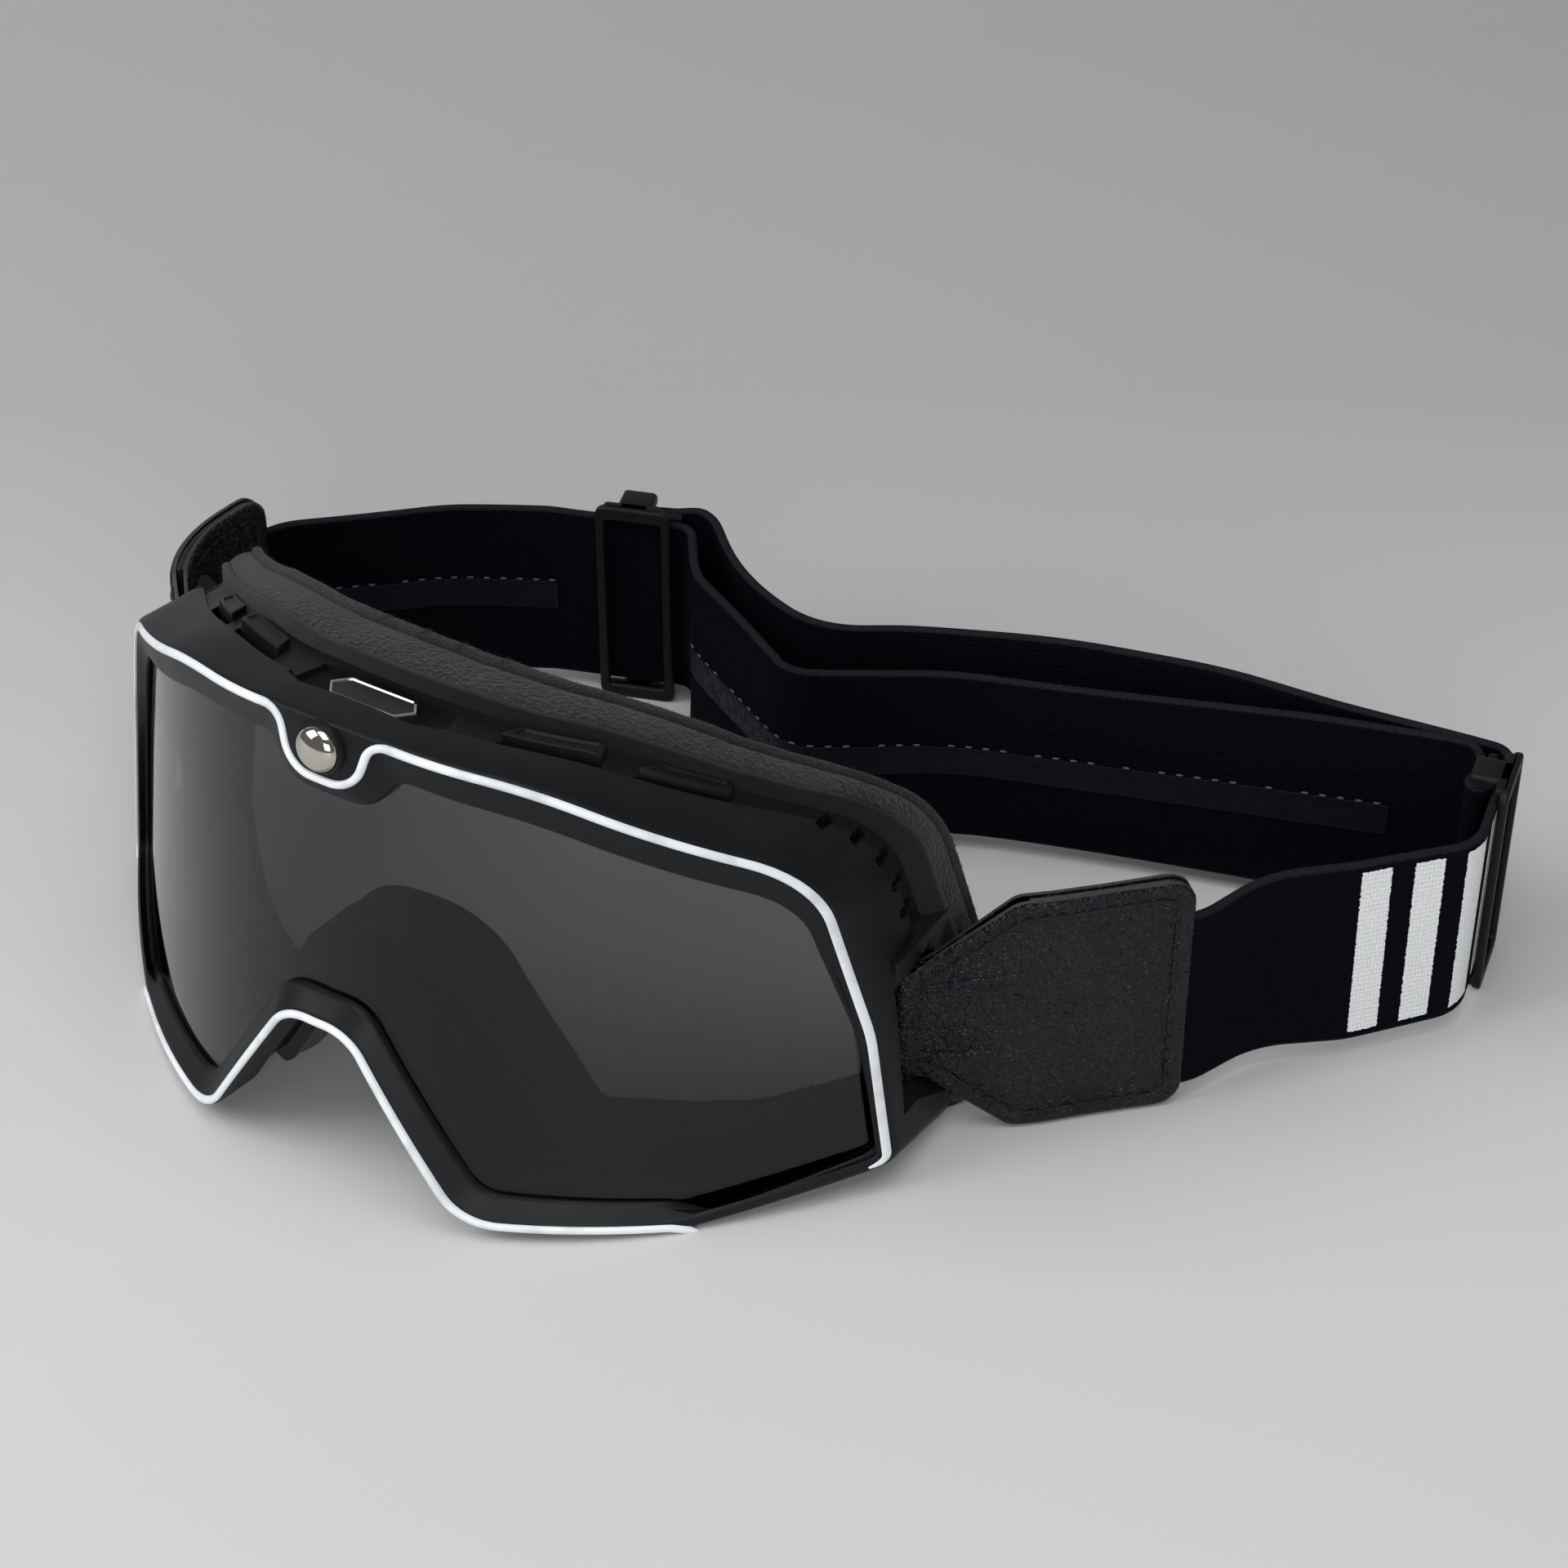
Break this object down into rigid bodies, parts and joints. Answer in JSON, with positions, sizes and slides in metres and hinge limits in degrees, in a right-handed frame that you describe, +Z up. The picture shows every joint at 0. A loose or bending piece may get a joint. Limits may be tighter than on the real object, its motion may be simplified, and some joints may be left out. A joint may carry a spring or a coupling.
{
  "type": "motorcycle goggles",
  "caption": "Wrapped rubber goggle frame with tinted lens, piping trim, three-layer face foam, leather strap tabs and elastic bands joined by sliders",
  "frame": {"origin": "Middle of the fleece at the nose bridge, on the symmetry plane of the frame, as the goggles stand on a table", "axes": "+Y towards the wearer, -Y out of the lens, +X to the right seen from the front, +Z up; the goggles stand leaning back by nine degrees, on a table at Z = -0.039"},
  "size_m": [0.2659, 0.1837, 0.1018],
  "materials": {
    "frame": "satin",
    "lens": "gloss",
    "piping": "satin",
    "stud_metal": "satin",
    "stud_seat": "matte",
    "nameplate": "brushed",
    "vent_foam": "open-cell foam",
    "foam_backing": "matte",
    "foam_core": "fine-cell foam",
    "fleece": "short pile",
    "strap_bar": "satin",
    "leather": "fine grain",
    "band": "knitted elastic with pale stripes",
    "grip": "satin",
    "slider": "matte"
  },
  "bodies": {
    "goggles": {"frame": "frame", "lens": "lens", "upper_piping": "piping", "lower_piping": "piping", "stud": "stud_metal", "stud_seat": "stud_seat", "stud_washer": "stud_metal", "nameplate": "nameplate", "vent_foam": "vent_foam", "foam_backing": "foam_backing", "foam_core": "foam_core", "face_fleece": "fleece", "left_strap_bar": "strap_bar", "right_strap_bar": "strap_bar", "left_band": "band", "right_band": "band", "left_grip_strip": "grip", "right_grip_strip": "grip", "back_grip_strip": "grip"},
    "left_tab": {"left_tab_outer": "leather", "left_tab_inner": "leather", "left_band_front": "band"},
    "right_tab": {"right_tab_outer": "leather", "right_tab_inner": "leather", "right_band_front": "band"},
    "left_slider": {"left_slider": "slider", "right_band_end": "band"},
    "right_slider": {"right_slider": "slider", "left_band_end": "band"}
  },
  "joints": [
    {"name": "left_tab_hinge", "type": "hinge", "parent": "goggles", "child": "left_tab", "pos_m": [-0.0829, 0.031, -0.0116], "axis": [0, 0, 1], "range_deg": [0, 14]},
    {"name": "right_tab_hinge", "type": "hinge", "parent": "goggles", "child": "right_tab", "pos_m": [0.0829, 0.031, -0.0116], "axis": [0, 0, -1], "range_deg": [-5, 14]},
    {"name": "left_slider_slide", "type": "slide", "parent": "goggles", "child": "left_slider", "axis": [-0.9457, -0.3251, 0], "range_m": [0, 0.006]},
    {"name": "right_slider_slide", "type": "slide", "parent": "goggles", "child": "right_slider", "axis": [0.1988, -0.98, 0], "range_m": [0, 0.006]}
  ]
}
